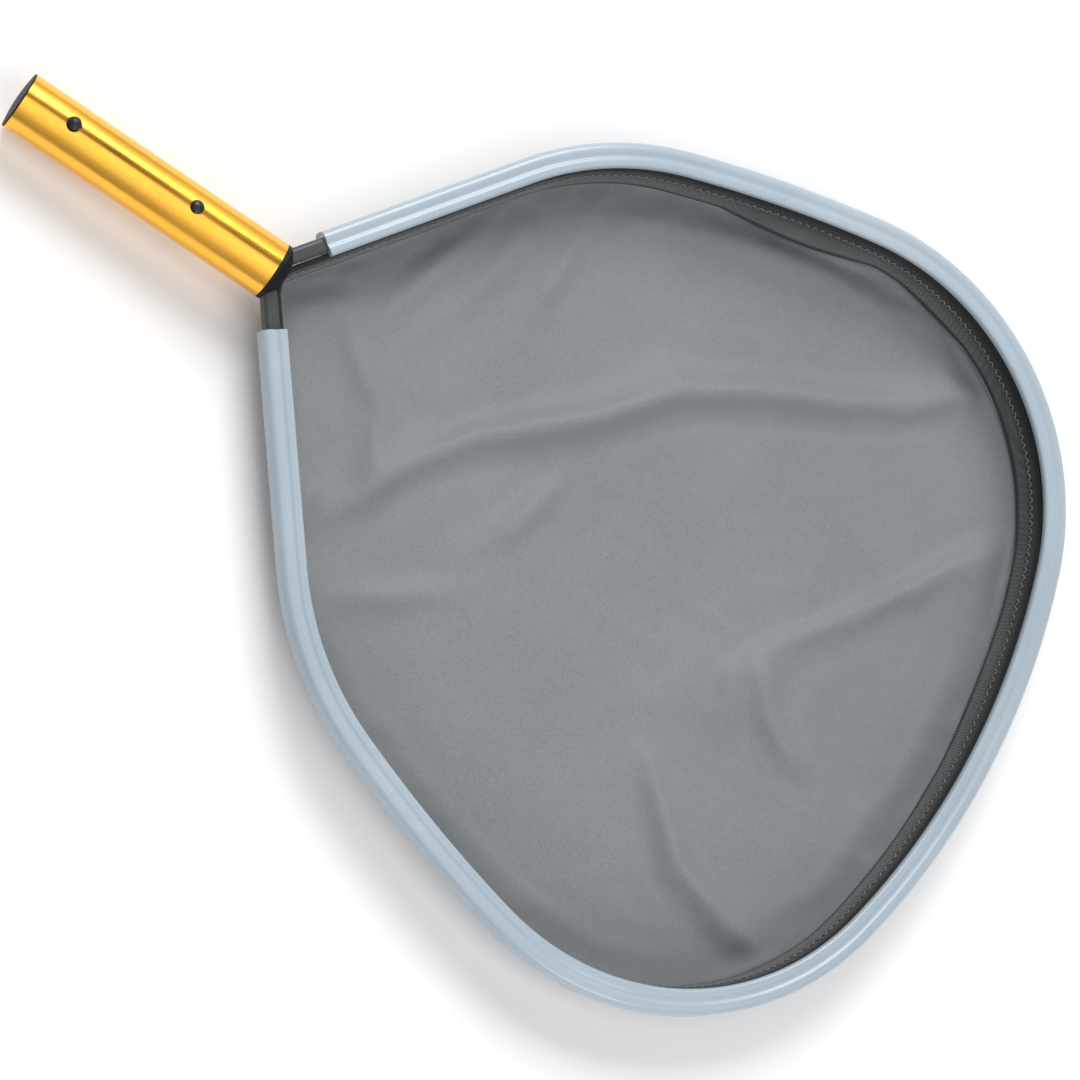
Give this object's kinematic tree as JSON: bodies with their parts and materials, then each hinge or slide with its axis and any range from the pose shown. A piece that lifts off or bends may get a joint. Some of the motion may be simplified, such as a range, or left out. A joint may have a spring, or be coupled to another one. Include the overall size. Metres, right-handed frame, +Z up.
{
  "type": "leaf skimmer net",
  "caption": "Shallow mesh net on a rounded guarded frame, with a yoke and a short handle tube whose spring buttons lock into a pool pole.",
  "frame": {"origin": "on the floor, under the middle of the overall length and width", "axes": "+X from the handle to the net's front edge, +Z up through the net's open side, +Y to the left seen from the handle"},
  "size_m": [0.5745, 0.418, 0.0389],
  "materials": {
    "gold_anodised_tube": "gold anodised, satin",
    "black_nylon": "moulded black nylon",
    "spring_steel": "stainless spring strip",
    "black_rivet": "black coated",
    "yoke_casting": "dark grey satin coat on a casting",
    "rail_aluminium": "mill finish",
    "guard_plastic": "pale blue-grey moulded plastic, satin",
    "spline_vinyl": "soft vinyl",
    "hem_webbing": "grey woven webbing",
    "hem_thread": "pale polyester thread",
    "net_mesh": "fine grey polyester mesh",
    "button_black": "black acetal"
  },
  "bodies": {
    "skimmer": {"handle_tube": "gold_anodised_tube", "handle_end_plug": "black_nylon", "clip_bend": "spring_steel", "hub_plug": "black_nylon", "handle_rivet": "black_rivet", "rivet_washer": "black_rivet", "yoke_arm_left": "yoke_casting", "yoke_arm_right": "yoke_casting", "rail_pins_left": "spring_steel", "rail_pins_right": "spring_steel", "frame_rail": "rail_aluminium", "edge_guard": "guard_plastic", "net_spline": "spline_vinyl", "net_hem": "hem_webbing", "hem_stitching": "hem_thread", "net_bag": "net_mesh"},
    "clip_upper": {"clip_leg_upper": "spring_steel", "clip_button_upper": "button_black"},
    "clip_lower": {"clip_leg_lower": "spring_steel", "clip_button_lower": "button_black"}
  },
  "joints": [
    {"name": "clip_upper_press", "type": "hinge", "parent": "skimmer", "child": "clip_upper", "pos_m": [-0.22582, 0, 0.0315], "axis": [0, -1, 0], "range_deg": [0, 6], "stiffness_Nm_per_rad": 1, "springref_deg": -5.73},
    {"name": "clip_lower_press", "type": "hinge", "parent": "skimmer", "child": "clip_lower", "pos_m": [-0.22465, 0, 0.00913], "axis": [0, 1, 0], "range_deg": [0, 6], "stiffness_Nm_per_rad": 1, "springref_deg": -5.73}
  ]
}
